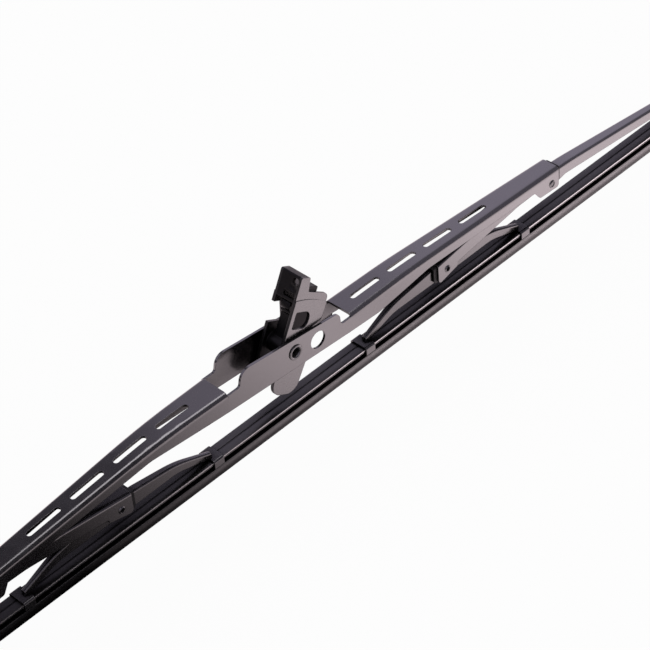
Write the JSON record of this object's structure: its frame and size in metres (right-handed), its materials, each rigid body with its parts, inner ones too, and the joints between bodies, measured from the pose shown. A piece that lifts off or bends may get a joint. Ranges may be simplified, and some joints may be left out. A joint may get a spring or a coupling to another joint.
{
  "type": "wiper blade",
  "caption": "Framed windscreen wiper blade: a slotted, windowed main bridge, nested pivoting levers and yokes whose claws hold a sprung rubber, and a hook adapter swung up.",
  "frame": {"origin": "middle of the arm pivot, on its axis, half way between the two walls of the main bridge", "axes": "+X along the blade towards the lower deck, +Y across it, +Z away from the glass"},
  "size_m": [0.6, 0.0162, 0.0727],
  "materials": {
    "frame_paint": "satin black paint on folded steel",
    "adapter_plastic": "moulded black plastic, low sheen",
    "rubber": "smooth extruded black rubber",
    "spine_steel": "bare spring steel strip",
    "rivet_metal": "black finished rivets",
    "liner_plastic": "matt black plastic"
  },
  "bodies": {
    "root": {"main_bridge": "frame_paint", "pivot_pin": "rivet_metal", "lever_rivet_left": "rivet_metal", "lever_rivet_right": "rivet_metal", "lever_liner_left": "liner_plastic", "lever_liner_right": "liner_plastic", "wiping_rubber": "rubber", "spine_near": "spine_steel", "spine_far": "spine_steel"},
    "adapter": {"hook_adapter": "adapter_plastic"},
    "lever_left": {"secondary_bridge_left": "frame_paint", "yoke_rivet_left": "rivet_metal", "yoke_liner_left": "liner_plastic"},
    "lever_right": {"secondary_bridge_right": "frame_paint", "yoke_rivet_right": "rivet_metal", "yoke_liner_right": "liner_plastic"},
    "yoke_body_left": {"yoke_left": "frame_paint"},
    "yoke_body_right": {"yoke_right": "frame_paint"}
  },
  "joints": [
    {"name": "adapter_pivot", "type": "hinge", "parent": "root", "child": "adapter", "pos_m": [0, 0, 0], "axis": [0, 1, 0], "range_deg": [-30, 62]},
    {"name": "lever_pivot_left", "type": "hinge", "parent": "root", "child": "lever_left", "pos_m": [-0.1583, 0, -0.0132], "axis": [0, 1, 0], "range_deg": [-3, 3], "stiffness_Nm_per_rad": 2, "deforming": ["wiping_rubber", "spine_near", "spine_far"]},
    {"name": "lever_pivot_right", "type": "hinge", "parent": "root", "child": "lever_right", "pos_m": [0.1583, 0, -0.0132], "axis": [0, 1, 0], "range_deg": [-3, 3], "stiffness_Nm_per_rad": 2, "deforming": ["wiping_rubber", "spine_near", "spine_far"]},
    {"name": "yoke_pivot_left", "type": "hinge", "parent": "lever_left", "child": "yoke_body_left", "pos_m": [-0.092, 0, -0.0185], "axis": [0, 1, 0], "range_deg": [-4, 4], "stiffness_Nm_per_rad": 2, "deforming": ["wiping_rubber", "spine_near", "spine_far"]},
    {"name": "yoke_pivot_right", "type": "hinge", "parent": "lever_right", "child": "yoke_body_right", "pos_m": [0.092, 0, -0.0185], "axis": [0, 1, 0], "range_deg": [-4, 4], "stiffness_Nm_per_rad": 2, "deforming": ["wiping_rubber", "spine_near", "spine_far"]}
  ]
}
